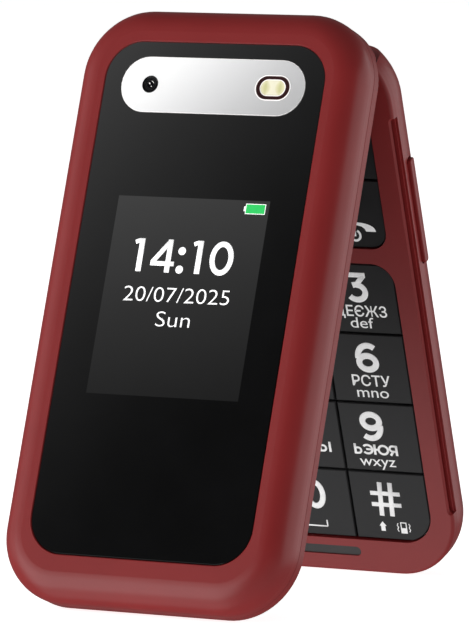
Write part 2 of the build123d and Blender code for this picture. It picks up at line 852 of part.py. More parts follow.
with BuildPart() as battery_cover:
    add(base_slice(cover_start + fit, reach + flap, cover_seam, base_depth + flap))
    add(base_slice(0, reach + flap, cover_seam - flap, base_depth, wall - battery_gap), mode=Mode.SUBTRACT)
    # sound slots over the loudspeaker
    with BuildSketch(base_plane.offset(base_depth)):
        with Locations((-speaker_offset, speaker_middle)):
            with GridLocations(0, slot_pitch, 1, 5):
                SlotOverall(slot_length, slot_pitch / 2)
    extrude(amount=-2 * wall, mode=Mode.SUBTRACT)
    # fingernail notch at the free end
    with BuildSketch(free_end):
        with Locations((0, -cover_seam)):
            SlotOverall(nail_width, 2 * nail_depth)
    extrude(amount=-nail_depth, mode=Mode.SUBTRACT)
write(battery_cover.part, "battery_cover")

# ------------------------------------------------------------------ base: keys
key_names = (
    ("key_1", "key_2", "key_3"),
    ("key_4", "key_5", "key_6"),
    ("key_7", "key_8", "key_9"),
    ("key_star", "key_0", "key_hash"),
)


def number_key(column, row):
    """One key of the number block, with the block's own corner where it has one."""
    with BuildPart() as key:
        with BuildSketch(base_plane.offset(key_level)):
            add(keypad_block(0))
            with Locations(((column - 1) * key_pitch_x, keypad_start + (row + 0.5) * key_pitch_y)):
                Rectangle(key_pitch_x - key_gap, key_pitch_y - key_gap, mode=Mode.INTERSECT)
        extrude(amount=key_thickness)
        chamfer(key.faces().sort_by(base_axis)[0].edges(), key_edge)
    return key.part


for row, names in enumerate(key_names):
    for column, name in enumerate(names):
        write(number_key(column, row), name)

ring_middle = (cluster_start + cluster_end) / 2
ring_length = cluster_end - cluster_start


def cluster_key(side, start, end):
    """A soft, call or end key, cut away round the navigation ring."""
    with BuildPart() as key:
        with BuildSketch(base_plane.offset(key_level)):
            add(cluster_block(0))
            with Locations((side * cluster_width / 2, (start + end) / 2)):
                Rectangle(cluster_width, end - start, mode=Mode.INTERSECT)
            with Locations((0, ring_middle)):
                RectangleRounded(
                    ring_width + 2 * key_gap,
                    ring_length + 2 * key_gap,
                    ring_corner + key_gap,
                    mode=Mode.SUBTRACT,
                )
            with Locations((0, ring_middle)):
                Rectangle(2 * (ring_width / 2 - ring_corner), 2 * ring_length, mode=Mode.SUBTRACT)
        extrude(amount=key_thickness)
        chamfer(key.faces().sort_by(base_axis)[0].edges(), key_edge)
    return key.part


upper = (cluster_start, cluster_row - key_gap / 2)
lower = (cluster_row + key_gap / 2, cluster_end)
write(cluster_key(-1, *upper), "soft_key_left")
write(cluster_key(1, *upper), "soft_key_right")
write(cluster_key(-1, *lower), "call_key")
write(cluster_key(1, *lower), "end_key")

with BuildPart() as navigation_ring:
    with BuildSketch(base_plane.offset(key_level)):
        with Locations((0, ring_middle)):
            RectangleRounded(ring_width, ring_length, ring_corner)
            Circle(ok_radius + key_gap / 2, mode=Mode.SUBTRACT)
    extrude(amount=key_thickness)
    chamfer(navigation_ring.faces().sort_by(base_axis)[0].edges(), key_edge)
write(navigation_ring.part, "navigation_ring")

with BuildPart() as ok_key:
    with BuildSketch(base_plane.offset(key_level)):
        with Locations((0, ring_middle)):
            Circle(ok_radius - key_gap / 2)
    extrude(amount=key_thickness)
    chamfer(ok_key.faces().sort_by(base_axis)[0].edges(), key_edge)
write(ok_key.part, "ok_key")

with BuildPart() as volume_key:
    with BuildSketch(across.offset(side_key_root)):
        with Locations((side_key_middle, side_key_level)):
            RectangleRounded(side_key_length, side_key_height, side_key_corner)
    extrude(amount=side_key_thickness)
    # its face follows the rounding of the housing and stands proud of it
    add(base_slice(0, reach, base_seam, base_depth, -side_key_proud), mode=Mode.INTERSECT)
    fillet(volume_key.faces().sort_by(Axis.X)[-1].edges(), side_key_edge)
    # ears behind the wall keep the key in its opening
    with BuildSketch(across.offset(side_key_root)):
        with Locations((side_key_middle, side_key_level)):
            Rectangle(side_key_length + 2 * side_key_ear, side_key_height)
    extrude(amount=side_key_flange)
write(volume_key.part, "volume_key")

# ------------------------------------------------------------------ base: inner pieces
with BuildPart() as keypad_mat:
    with BuildSketch(base_plane.offset(mat_level)):
        with Locations((0, (cluster_start + keypad_end) / 2)):
            Rectangle(keypad_width, keypad_end - cluster_start - mat_inset)
        with Locations(*base_spots):
            Circle(base_boss_radius + 2 * fit, mode=Mode.SUBTRACT)
    extrude(amount=mat_thickness)
write(keypad_mat.part, "keypad_mat")

usb_start = reach - wall / 3 - usb_length
board_start = cavity_start + 4 * wall / 3
board_end = usb_start - 2 * fit
main_board = slab(
    base_plane,
    base_board_level,
    board_thickness,
    (board_start + board_end) / 2,
    board_end - board_start,
    base_board_width,
    board_corner,
)
write(main_board, "main_board")

shield_level = base_board_level + board_thickness
shield_can = slab(
    base_plane,
    shield_level,
    floor_level - shield_level - fit / 2,
    shield_middle,
    shield_length,
    shield_width,
    board_corner,
)
write(shield_can, "shield_can")

with BuildPart() as battery:
    with BuildSketch(base_plane.offset(battery_level)):
        with Locations((0, battery_start + battery_length / 2)):
            RectangleRounded(battery_width, battery_length, battery_corner)
    extrude(amount=battery_thickness)
    chamfer(battery.faces().filter_by(base_axis).edges(), battery_edge)
write(battery.part, "battery")

with BuildPart() as battery_connector:
    connector_middle = battery_start - connector_thickness / 2 - 5 * fit
    with BuildSketch(base_plane.offset(battery_level)):
        with Locations((connector_offset, connector_middle)):
            Rectangle(connector_width, connector_thickness)
    extrude(amount=battery_thickness * 0.8)
    # spring contacts towards the battery
    with BuildSketch(base_plane.offset(battery_level + battery_thickness * 0.2)):
        with Locations((connector_offset, connector_middle + 4 * fit)):
            with GridLocations(contact_pitch, 0, 3, 1):
                Rectangle(contact_pitch / 2, connector_thickness)
    extrude(amount=battery_thickness * 0.5)
write(battery_connector.part, "battery_connector")

speaker = slab(
    base_plane,
    battery_level,
    speaker_thickness,
    speaker_middle,
    speaker_length,
    speaker_width,
    capsule_corner,
    -speaker_offset,
)
write(speaker, "loudspeaker")

speaker_mesh = slab(
    base_plane,
    battery_level + speaker_thickness + fit,
    mesh_thickness,
    speaker_middle,
    speaker_length - capsule_corner,
    speaker_width - capsule_corner,
    capsule_corner / 2,
    -speaker_offset,
)
write(speaker_mesh, "speaker_mesh")

with BuildPart() as sim_holder:
    with BuildSketch(base_plane.offset(battery_level)):
        with Locations((sim_offset, speaker_middle)):
            Rectangle(sim_width, sim_length)
    extrude(amount=sim_thickness)
    with BuildSketch(base_plane.offset(battery_level + mesh_thickness)):
        with Locations((sim_offset, speaker_middle + sim_rail)):
            Rectangle(sim_width - 2 * sim_rail, sim_length)
    extrude(amount=board_thickness, mode=Mode.SUBTRACT)
write(sim_holder.part, "sim_holder")

with BuildPart() as vibration_motor:
    motor_start = -motor_end - motor_length
    with BuildSketch(across.offset(motor_start)):
        with Locations((reach - motor_foot, battery_level + motor_radius)):
            Circle(motor_radius)
    extrude(amount=motor_length)
write(vibration_motor.part, "vibration_motor")

antenna = slab(
    base_plane,
    battery_level,
    antenna_thickness,
    reach - motor_foot,
    antenna_length,
    antenna_width,
    screen_corner,
    base_screw_places[1][0] - antenna_inset,
)
write(antenna, "antenna")

with BuildPart() as usb_socket:
    with BuildSketch(free_end.offset(-wall / 3)):
        with Locations((0, -usb_level)):
            SlotOverall(usb_width, usb_height)
    extrude(amount=-usb_length)
    with BuildSketch(free_end.offset(-wall / 3)):
        with Locations((0, -usb_level)):
            SlotOverall(usb_width - 2 * usb_wall, usb_height - 2 * usb_wall)
            Rectangle(tongue_width, tongue_thickness, mode=Mode.SUBTRACT)
    extrude(amount=wall - usb_length, mode=Mode.SUBTRACT)
write(usb_socket.part, "usb_socket")

mic_bar = capsule_slab(
    base_plane,
    inner_face + mic_bar_recess,
    base_seam - inner_face - mic_bar_recess,
    mic_middle,
    mic_bar_width - fit,
    mic_bar_height - fit,
)
write(mic_bar, "mic_bar")

with BuildPart() as microphone:
    with BuildSketch(base_plane.offset(base_seam + fit)):
        with Locations((microphone_offset, mic_middle)):
            Circle(microphone_radius)
    extrude(amount=microphone_thickness)
write(microphone.part, "microphone")

with BuildPart() as side_switch:
    switch_face = side_key_root - side_key_travel - run_gap
    switch_middle = side_key_start + switch_length / 2
    with BuildSketch(across.offset(switch_face)):
        with Locations((switch_middle, side_key_level)):
            with GridLocations(switch_length * 0.6, 0, 2, 1):
                Circle(switch_dome)
    extrude(amount=-switch_dome / 2)
    with BuildSketch(across.offset(switch_face - switch_dome / 2)):
        with Locations((switch_middle, side_key_level)):
            Rectangle(switch_length, 2 * switch_dome + 2 * fit)
    extrude(amount=-switch_dome / 2)
write(side_switch.part, "side_switch")

base_screws = screws(base_plane, base_screw_places, floor_level + floor_thickness, base_screw_length, 1)
write(base_screws, "base_screws")
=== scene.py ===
"""Looks of a clamshell phone that stands like a tent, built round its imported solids."""

import bmesh
import bpy
from math import cos, radians, sin
from mathutils import Matrix, Vector


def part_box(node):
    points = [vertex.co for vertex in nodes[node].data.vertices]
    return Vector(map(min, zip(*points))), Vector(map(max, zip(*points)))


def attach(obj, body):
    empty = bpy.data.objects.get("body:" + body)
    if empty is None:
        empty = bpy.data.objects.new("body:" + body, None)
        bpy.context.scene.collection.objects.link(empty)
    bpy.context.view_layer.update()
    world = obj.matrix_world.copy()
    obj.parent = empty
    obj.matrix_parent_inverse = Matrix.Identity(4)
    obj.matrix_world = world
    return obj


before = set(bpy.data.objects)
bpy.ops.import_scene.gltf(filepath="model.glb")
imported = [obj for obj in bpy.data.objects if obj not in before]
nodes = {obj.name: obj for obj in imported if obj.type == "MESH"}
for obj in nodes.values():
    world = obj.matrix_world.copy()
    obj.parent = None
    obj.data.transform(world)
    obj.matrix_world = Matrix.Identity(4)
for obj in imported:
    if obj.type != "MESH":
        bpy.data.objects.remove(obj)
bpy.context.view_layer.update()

MM = 0.001
HALF_ANGLE = radians(19.28)  # between either half and the vertical
HINGE = Vector((0.0, -0.57388, 90.4839)) * MM
ACROSS = Vector((1, 0, 0))
BASE_DOWN = Vector((0, sin(HALF_ANGLE), -cos(HALF_ANGLE)))
BASE_OUT = Vector((0, cos(HALF_ANGLE), sin(HALF_ANGLE)))
LID_DOWN = Vector((0, -sin(HALF_ANGLE), -cos(HALF_ANGLE)))
LID_OUT = Vector((0, -cos(HALF_ANGLE), sin(HALF_ANGLE)))


def add_object(name, data):
    thing = bpy.data.objects.new(name, data)
    bpy.context.scene.collection.objects.link(thing)
    return thing


# ---------------------------------------------------------------- camera
CAMERA_BACK = Vector((0.46278, -0.88183, 0.09063))
CAMERA_RIGHT = Vector((0.88531, 0.46498, 0.00365))
CAMERA_FROM_HINGE = Vector((444.103, -848.227, 43.663)) * MM
SENSOR_WIDTH = 36
FOCAL_LENGTH = 327.1


def place_camera():
    """A long lens, a little above the hinge's height and to the right of the lid."""
    back = CAMERA_BACK.normalized()
    right = (CAMERA_RIGHT - back * CAMERA_RIGHT.dot(back)).normalized()
    up = back.cross(right)
    lens = bpy.data.cameras.new("camera")
    lens.sensor_fit = "AUTO"
    lens.sensor_width = SENSOR_WIDTH
    lens.lens = FOCAL_LENGTH
    lens.clip_start = 0.05
    lens.clip_end = 60
    camera = add_object("camera", lens)
    turn = Matrix((right, up, back)).transposed().to_4x4()
    camera.matrix_world = Matrix.Translation(HINGE + CAMERA_FROM_HINGE) @ turn
    bpy.context.scene.camera = camera


place_camera()
bpy.context.scene.view_settings.view_transform = "Standard"


# ---------------------------------------------------------------- places on the two halves
# Millimetres across, down from the hinge axis and outwards from the plane where the halves meet.
def half_frame(place, along, outward, right, up):
    """Matrix at a place on one half; its x runs right, its y runs up and its z leaves the face."""
    x, down, out = place
    origin = HINGE + (ACROSS * x + along * down + outward * out) * MM
    turn = Matrix((right, up, right.cross(up))).transposed().to_4x4()
    return Matrix.Translation(origin) @ turn


def on_lid(x, down, out=8.0):
    """A place on the lid's outer face."""
    return half_frame((x, down, out), LID_DOWN, LID_OUT, ACROSS, -LID_DOWN)


def in_lid(x, down, out=0.1):
    """A place on the lid's inner face; its up points to the free end, as when the phone is open."""
    return half_frame((x, down, out), LID_DOWN, LID_OUT, ACROSS, LID_DOWN)


def on_keys(x, down, out):
    """A place that faces the way the keys do."""
    return half_frame((x, down, out), BASE_DOWN, BASE_OUT, ACROSS, -BASE_DOWN)


def on_back(x, down, out):
    """A place that faces the way the battery cover does."""
    return half_frame((x, down, out), BASE_DOWN, BASE_OUT, -ACROSS, -BASE_DOWN)


PLATE_DOWN = 7.71  # middle of the camera plate, its lens and its flash
LENS_X = -11.78
FLASH_X = 11.28
SCREEN_DOWN = 44.08  # middle of the outer screen's lit area
SCREEN_HALF_WIDTH = 14.19
SCREEN_HALF_HEIGHT = 16.99
INNER_SCREEN_DOWN = 51.3
INNER_SCREEN_HALF_WIDTH = 20.5
INNER_SCREEN_HALF_HEIGHT = 30.7


# ---------------------------------------------------------------- material tools
def new_material(name):
    material = bpy.data.materials.new(name)
    material.use_nodes = True
    tree = material.node_tree
    shader = tree.nodes["Principled BSDF"]
    return material, tree, shader


def add_node(tree, kind, **values):
    node = tree.nodes.new(kind)
    for key, value in values.items():
        if key in node.inputs.keys():
            node.inputs[key].default_value = value
        else:
            setattr(node, key, value)
    return node


def local_position(tree, matrix=None):
    """Object coordinates in metres, or in millimetres in the frame of a face."""
    place = tree.nodes.new("ShaderNodeTexCoord")
    if matrix is None:
        return place.outputs["Object"]
    inverse = matrix.inverted()
    mapping = tree.nodes.new("ShaderNodeMapping")
    mapping.vector_type = "POINT"
    mapping.inputs["Location"].default_value = inverse.to_translation() * 1000
    mapping.inputs["Rotation"].default_value = inverse.to_euler()
    mapping.inputs["Scale"].default_value = (1000, 1000, 1000)
    tree.links.new(place.outputs["Object"], mapping.inputs["Vector"])
    return mapping.outputs["Vector"]


def face_axes(tree, matrix):
    """Millimetres right and up on a face."""
    split = tree.nodes.new("ShaderNodeSeparateXYZ")
    tree.links.new(local_position(tree, matrix), split.inputs["Vector"])
    return split.outputs["X"], split.outputs["Y"]


def noise(tree, vector, scale, detail=2.0, roughness=0.5):
    grain = add_node(tree, "ShaderNodeTexNoise", Scale=scale, Detail=detail, Roughness=roughness)
    tree.links.new(vector, grain.inputs["Vector"])
    return grain.outputs["Fac"]


def ramp(tree, value, *stops):
    """Colour ramp through (position, colour) stops."""
    band = tree.nodes.new("ShaderNodeValToRGB")
    elements = band.color_ramp.elements
    while len(elements) < len(stops):
        elements.new(0.5)
    for element, (position, colour) in zip(elements, stops):
        element.position = position
        element.color = (*colour, 1.0)
    tree.links.new(value, band.inputs["Fac"])
    return band.outputs["Color"]


def math_node(tree, operation, *values):
    node = tree.nodes.new("ShaderNodeMath")
    node.operation = operation
    for index, value in enumerate(values):
        if isinstance(value, (int, float)):
            node.inputs[index].default_value = value
        else:
            tree.links.new(value, node.inputs[index])
    return node.outputs["Value"]


def remap(tree, value, low, high, new_low, new_high):
    node = add_node(tree, "ShaderNodeMapRange")
    node.inputs["From Min"].default_value = low
    node.inputs["From Max"].default_value = high
    node.inputs["To Min"].default_value = new_low
    node.inputs["To Max"].default_value = new_high
    tree.links.new(value, node.inputs["Value"])
    return node.outputs["Result"]


def slope(tree, x, y, across, along, start):
    """A level that changes evenly across and along a face."""
    level = math_node(tree, "MULTIPLY_ADD", x, across, start)
    return math_node(tree, "MULTIPLY_ADD", y, along, level)


def inside_area(tree, x, y, half_width, half_height):
    """One within a rectangle round the middle of a face, and nought outside it."""
    near_x = math_node(tree, "LESS_THAN", math_node(tree, "ABSOLUTE", x), half_width)
    near_y = math_node(tree, "LESS_THAN", math_node(tree, "ABSOLUTE", y), half_height)
    return math_node(tree, "MULTIPLY", near_x, near_y)


def tint_between(tree, shader, value, deep, light, low=0.3, high=0.7):
    """Base colour that goes from a deep to a light tone as a value rises."""
    tree.links.new(ramp(tree, value, (low, deep), (high, light)), shader.inputs["Base Color"])


def roughen(tree, shader, value, smooth, rough, low=0.3, high=0.7):
    """Roughness that goes from smooth to rough as a value rises."""
    level = remap(tree, value, low, high, smooth, rough)
    tree.links.new(level, shader.inputs["Roughness"])


def bump(tree, shader, height, strength, distance):
    node = add_node(tree, "ShaderNodeBump", Strength=strength, Distance=distance)
    tree.links.new(height, node.inputs["Height"])
    tree.links.new(node.outputs["Normal"], shader.inputs["Normal"])


def srgb(*levels):
    """Linear colour from 0-255 screen levels."""
    return tuple((level / 255) ** 2.2 for level in levels)


# ---------------------------------------------------------------- finishes
FINE_GRAIN = 0.00001  # depth of the marks in a smooth surface, in metres


def moulded_plastic(
    name, deep, light, rough, coat=0.0, grain_scale=3000, grain_depth=FINE_GRAIN, shine=0.5
):
    """Satin moulded plastic: faint mottling, fine spark-eroded grain, uneven sheen."""
    material, tree, shader = new_material(name)
    place = local_position(tree)
    tint_between(tree, shader, noise(tree, place, 90, 3), deep, light, high=0.72)
    grain = noise(tree, place, grain_scale, 3, 0.6)
    roughen(tree, shader, grain, rough - 0.04, rough + 0.04)
    shader.inputs["Specular IOR Level"].default_value = shine
    shader.inputs["Coat Weight"].default_value = coat
    shader.inputs["Coat Roughness"].default_value = 0.3
    bump(tree, shader, grain, 0.12, grain_depth)
    return material


def window_with_painted_reflection(name):
    """Glossy black window with a painted reflection, a glow that brightens it towards its top left,
    and the lit area of the screen behind it.
    """
    material, tree, shader = new_material(name)
    face = on_lid(0, SCREEN_DOWN)
    x, y = face_axes(tree, face)
    inside = inside_area(tree, x, y, SCREEN_HALF_WIDTH, SCREEN_HALF_HEIGHT)
    # painted reflection: glow on the black glass, brighter towards its top left
    sheen = slope(tree, x, y, across=-0.68, along=0.53, start=24.0)
    # the lit screen glows as a screen does; its level also rises towards the top, in the same way
    # as the painted reflection
    screen = slope(tree, x, y, across=-0.25, along=0.80, start=48.0)
    level = add_node(tree, "ShaderNodeMix", data_type="FLOAT")
    tree.links.new(inside, level.inputs["Factor"])
    tree.links.new(sheen, level.inputs["A"])
    tree.links.new(screen, level.inputs["B"])
    share = math_node(tree, "DIVIDE", level.outputs["Result"], 255)
    light = math_node(tree, "POWER", math_node(tree, "MAXIMUM", share, 0.0), 2.2)
    tree.links.new(light, shader.inputs["Emission Color"])
    shader.inputs["Emission Strength"].default_value = 1.0
    smear = noise(tree, local_position(tree, face), 0.08, 4, 0.55)
    tint_between(
        tree, shader, smear, (0.0010, 0.0010, 0.0011), (0.0018, 0.0018, 0.002), low=0.35
    )
    roughen(tree, shader, smear, 0.04, 0.09, high=0.75)
    shader.inputs["Specular IOR Level"].default_value = 0.25
    return material


def silver_with_painted_shade(name):
    """Satin silver plate with painted shade that goes from near white to light grey across its
    length.
    """
    material, tree, shader = new_material(name)
    # middle of the painted shade
    face = on_lid(0, 7.7)
    x, y = face_axes(tree, face)
    # painted shade: near white at the plate's upper left end, greyer towards its lower right end
    along = remap(tree, slope(tree, x, y, 1.0, -1.1, 0.0), -20, 20, 0.0, 1.0)
    colour = ramp(
        tree,
        along,
        (0.0, (0.93, 0.93, 0.93)),
        (0.25, (0.86, 0.86, 0.86)),
        (0.5, (0.68, 0.68, 0.685)),
        (0.7, (0.55, 0.55, 0.555)),
        (0.9, (0.455, 0.455, 0.46)),
        (1.0, (0.425, 0.425, 0.43)),
    )
    tree.links.new(colour, shader.inputs["Base Color"])
    fleck = noise(tree, local_position(tree, face), 14, 2, 0.7)
    roughen(tree, shader, fleck, 0.3, 0.38)
    bump(tree, shader, fleck, 0.05, FINE_GRAIN)
    return material


def key_plastic(name, deep, light):
    """Dark key plastic, smooth with a light satin skin and a trace of finger wear."""
    material, tree, shader = new_material(name)
    place = local_position(tree)
    cloud = noise(tree, place, 160, 3)
    tint_between(tree, shader, cloud, deep, light)
    roughen(tree, shader, cloud, 0.38, 0.5, low=0.25, high=0.75)
    shader.inputs["Specular IOR Level"].default_value = 0.25
    bump(tree, shader, noise(tree, place, 5200, 2, 0.6), 0.08, FINE_GRAIN)
    return material


def printed_ink(name, level, glow):
    """Printed or lit marks: nearly even, with slightly thin spots; their glow is real light on a
    lit screen and painted light on printed marks.
    """
    material, tree, shader = new_material(name)
    cloud = noise(tree, local_position(tree), 700, 3)
    dim = tuple(channel * 0.9 for channel in level)
    tone = ramp(tree, cloud, (0.3, dim), (0.6, level))
    tree.links.new(tone, shader.inputs["Base Color"])
    tree.links.new(tone, shader.inputs["Emission Color"])
    shader.inputs["Roughness"].default_value = 0.5
    shader.inputs["Emission Strength"].default_value = glow
    return material


def metal(name, deep, light, rough, streaks=(1, 1, 1)):
    """Bare metal with machining or rolling marks."""
    material, tree, shader = new_material(name)
    stretch = tree.nodes.new("ShaderNodeMapping")
    stretch.inputs["Scale"].default_value = streaks
    tree.links.new(local_position(tree), stretch.inputs["Vector"])
    lines = noise(tree, stretch.outputs["Vector"], 900, 4, 0.65)
    tint_between(tree, shader, lines, deep, light)
    roughen(tree, shader, lines, rough - 0.06, rough + 0.06)
    shader.inputs["Metallic"].default_value = 1.0
    bump(tree, shader, lines, 0.1, FINE_GRAIN)
    return material


def soft_rubber(name, deep, light):
    material, tree, shader = new_material(name)
    cloud = noise(tree, local_position(tree), 1200, 4)
    tint_between(tree, shader, cloud, deep, light)
    roughen(tree, shader, cloud, 0.62, 0.78)
    bump(tree, shader, cloud, 0.2, 2 * FINE_GRAIN)
    return material


def dark_glass(name, tint, shine, view=None):
    """Polished dark glass; a view of (place, half width, half height) is a screen that is off."""
    material, tree, shader = new_material(name)
    smear = noise(tree, local_position(tree), 60, 4)
    colour = ramp(tree, smear, (0.3, tint), (0.7, tuple(2 * c for c in tint)))
    if view is not None:
        matrix, half_width, half_height = view
        x, y = face_axes(tree, matrix)
        screen = ramp(tree, smear, (0.3, srgb(30, 31, 34)), (0.7, srgb(34, 35, 38)))
        panel = add_node(tree, "ShaderNodeMix", data_type="RGBA")
        inside = inside_area(tree, x, y, half_width, half_height)
        tree.links.new(inside, panel.inputs["Factor"])
        tree.links.new(colour, panel.inputs["A"])
        tree.links.new(screen, panel.inputs["B"])
        colour = panel.outputs["Result"]
    tree.links.new(colour, shader.inputs["Base Color"])
    roughen(tree, shader, smear, 0.03, 0.08)
    shader.inputs["Specular IOR Level"].default_value = shine
    return material


def circuit_board(name):
    """Green solder mask with tracks and pads."""
    material, tree, shader = new_material(name)
    place = local_position(tree)
    blocks = add_node(tree, "ShaderNodeTexBrick", Scale=420)
    blocks.inputs["Mortar Size"].default_value = 0.03
    blocks.inputs["Color1"].default_value = (0.004, 0.05, 0.02, 1)
    blocks.inputs["Color2"].default_value = (0.006, 0.065, 0.028, 1)
    blocks.inputs["Mortar"].default_value = (0.02, 0.12, 0.05, 1)
    tree.links.new(place, blocks.inputs["Vector"])
    tree.links.new(blocks.outputs["Color"], shader.inputs["Base Color"])
    roughen(tree, shader, noise(tree, place, 300), 0.25, 0.4)
    return material


def flash_diffuser(name):
    """Cream diffuser: bright middle between two slightly greener lamp beds, faint prism grid, and a
    faint painted glow.
    """
    material, tree, shader = new_material(name)
    face = on_lid(FLASH_X, PLATE_DOWN)
    x, y = face_axes(tree, face)
    bed_x = 1.35
    from_bed = math_node(tree, "SUBTRACT", math_node(tree, "ABSOLUTE", x), bed_x)
    beds = math_node(tree, "ABSOLUTE", from_bed)
    high = math_node(tree, "MULTIPLY", y, y)
    away = math_node(tree, "MULTIPLY_ADD", high, 0.45, beds)
    colour = ramp(
        tree,
        away,
        (0.15, srgb(200, 198, 146)),
        (0.75, srgb(222, 217, 180)),
        (1.0, srgb(232, 228, 202)),
    )
    tree.links.new(colour, shader.inputs["Base Color"])
    # faint glow of the unlit flash: painted light
    tree.links.new(colour, shader.inputs["Emission Color"])
    shader.inputs["Emission Strength"].default_value = 0.05
    cells = add_node(tree, "ShaderNodeTexVoronoi", Scale=2.2, Randomness=0.1)
    tree.links.new(local_position(tree, face), cells.inputs["Vector"])
    roughen(tree, shader, cells.outputs["Distance"], 0.12, 0.3, low=0, high=1)
    shader.inputs["Coat Weight"].default_value = 0.5
    bump(tree, shader, cells.outputs["Distance"], 0.15, 0.00003)
    return material


def perforated(name, scale):
    """Dark sheet with a close grid of round holes."""
    material, tree, shader = new_material(name)
    place = local_position(tree)
    holes = add_node(tree, "ShaderNodeTexVoronoi", Scale=scale, Randomness=0.0)
    tree.links.new(place, holes.inputs["Vector"])
    hole, sheet = (0.002, 0.002, 0.002), (0.10, 0.10, 0.10)
    edge = ramp(tree, holes.outputs["Distance"], (0.26, hole), (0.34, sheet))
    tree.links.new(edge, shader.inputs["Base Color"])
    roughen(tree, shader, noise(tree, place, 900), 0.4, 0.55)
    shader.inputs["Metallic"].default_value = 0.8
    bump(tree, shader, edge, 0.4, 0.00008)
    return material


shell_red = moulded_plastic(
    "satin_red_shell",
    (0.176, 0.0100, 0.0104),
    (0.190, 0.0115, 0.0120),
    rough=0.36,
    grain_scale=4200,
    shine=0.42,
)
frame_red = moulded_plastic(
    "satin_red_frame",
    (0.172, 0.0110, 0.0114),
    (0.186, 0.0125, 0.0130),
    rough=0.42,
    grain_scale=3800,
    shine=0.36,
)
black_window = window_with_painted_reflection("black_window")
silver = silver_with_painted_shade("satin_silver_painted_shade")
keys_dark = key_plastic("key_dark_grey", srgb(33, 33, 34), srgb(38, 38, 39))
matt_black = moulded_plastic(
    "matt_black", srgb(20, 20, 21), srgb(28, 28, 29), rough=0.6, grain_depth=2 * FINE_GRAIN
)
slot_black = moulded_plastic("slot_black", srgb(34, 30, 30), srgb(42, 38, 38), rough=0.5)
ring_maroon = moulded_plastic(
    "ring_maroon", srgb(36, 4, 8), srgb(44, 6, 10), rough=0.3, coat=0.2
)
lens_black = dark_glass("lens_glass", (0.0006, 0.0006, 0.001), shine=0.2)
inner_glass = dark_glass(
    "inner_window_glass",
    (0.002, 0.002, 0.002),
    shine=0.5,
    view=(in_lid(0, INNER_SCREEN_DOWN), INNER_SCREEN_HALF_WIDTH, INNER_SCREEN_HALF_HEIGHT),
)
flash_cream = flash_diffuser("flash_cream")
# the key print glows: painted light that keeps it bright in the keypad's shade
grey_print_painted_glow = printed_ink("key_print_painted_glow", srgb(205, 205, 205), glow=0.32)
ink_white = printed_ink("screen_white", srgb(240, 240, 240), glow=0.55)
# green glow: real light on the screen's charge level, painted light on the call key's print
ink_green = printed_ink("green_screen_glow_and_painted_key_glow", srgb(30, 180, 84), glow=0.35)
# pale glowing ink for painted highlights: lens glints and bright rims on the camera plate and flash
pale_painted_highlight = printed_ink("pale_painted_highlight_rim", srgb(236, 232, 230), glow=0.3)
steel = metal("ground_steel", (0.42, 0.42, 0.43), (0.55, 0.55, 0.56), 0.3, streaks=(6, 1, 1))
tinned = metal("tinned_can", (0.5, 0.5, 0.5), (0.62, 0.62, 0.61), 0.42)
brass = metal("turned_brass", (0.5, 0.33, 0.12), (0.62, 0.42, 0.17), 0.28, streaks=(8, 1, 1))
mesh_dark = perforated("mesh_dark", 1500)
gilt = metal("gilt_contacts", (0.62, 0.42, 0.15), (0.74, 0.53, 0.22), 0.25)
rubber_red = soft_rubber("bumper_rubber", srgb(78, 18, 20), srgb(92, 24, 26))
silicone = soft_rubber("keypad_silicone", (0.28, 0.28, 0.28), (0.36, 0.36, 0.36))
board_green = circuit_board("solder_mask")
battery_wrap = moulded_plastic(
    "battery_wrap", srgb(34, 34, 36), srgb(44, 44, 46), rough=0.35, coat=0.2, grain_scale=900
)
amber = moulded_plastic(
    "amber_film", srgb(140, 70, 16), srgb(165, 88, 24), rough=0.25, coat=0.4, grain_scale=900
)

NUMBER_KEYS = [f"key_{digit}" for digit in range(1, 10)] + ["key_star", "key_0", "key_hash"]
CLUSTER = ["soft_key_left", "soft_key_right", "call_key", "end_key", "navigation_ring", "ok_key"]
FINISHES = {
    shell_red: ["lid_front_cover", "rear_housing", "battery_cover", "volume_key"],
    frame_red: ["lid_inner_frame", "base_front_frame"],
    black_window: ["outer_glass"],
    silver: ["camera_plate"],
    keys_dark: NUMBER_KEYS + CLUSTER,
    matt_black: [
        "camera_module",
        "earpiece",
        "battery_connector",
        "loudspeaker",
        "antenna",
        "side_switch",
    ],
    slot_black: ["mic_bar"],
    ring_maroon: ["flash_ring"],
    lens_black: ["camera_lens", "outer_display", "inner_display"],
    inner_glass: ["inner_window"],
    flash_cream: ["flash_lens"],
    steel: [
        "hinge_shaft",
        "hinge_cartridge",
        "hinge_pin",
        "lid_screws",
        "base_screws",
        "usb_socket",
        "lid_magnet",
    ],
    tinned: ["shield_can", "sim_holder", "vibration_motor", "microphone"],
    brass: ["hinge_bush"],
    mesh_dark: ["earpiece_mesh", "speaker_mesh"],
    rubber_red: ["lid_bumpers"],
    silicone: ["keypad_mat"],
    board_green: ["main_board", "lid_board"],
    battery_wrap: ["battery"],
    amber: ["hinge_flex"],
}
for finish, names in FINISHES.items():
    for name in names:
        mesh = nodes[name].data
        mesh.materials.clear()
        mesh.materials.append(finish)


# ---------------------------------------------------------------- piece tools
THICKNESS = 0.03  # of printed marks, in millimetres
FLATTENED = 0.03  # share of its height that a drawn stroke keeps
CAP_SHARE = 0.7  # capital height as a share of the font's size


def as_mesh(curve):
    """The mesh of a curve that nothing else uses."""
    carrier = add_object(curve.name, curve)
    depsgraph = bpy.context.evaluated_depsgraph_get()
    mesh = bpy.data.meshes.new_from_object(carrier.evaluated_get(depsgraph))
    bpy.data.objects.remove(carrier)
    bpy.data.curves.remove(curve)
    return mesh


def add_mesh(bm, mesh):
    """Moves a mesh that nothing else uses into a bmesh."""
    bm.from_mesh(mesh)
    bpy.data.meshes.remove(mesh)


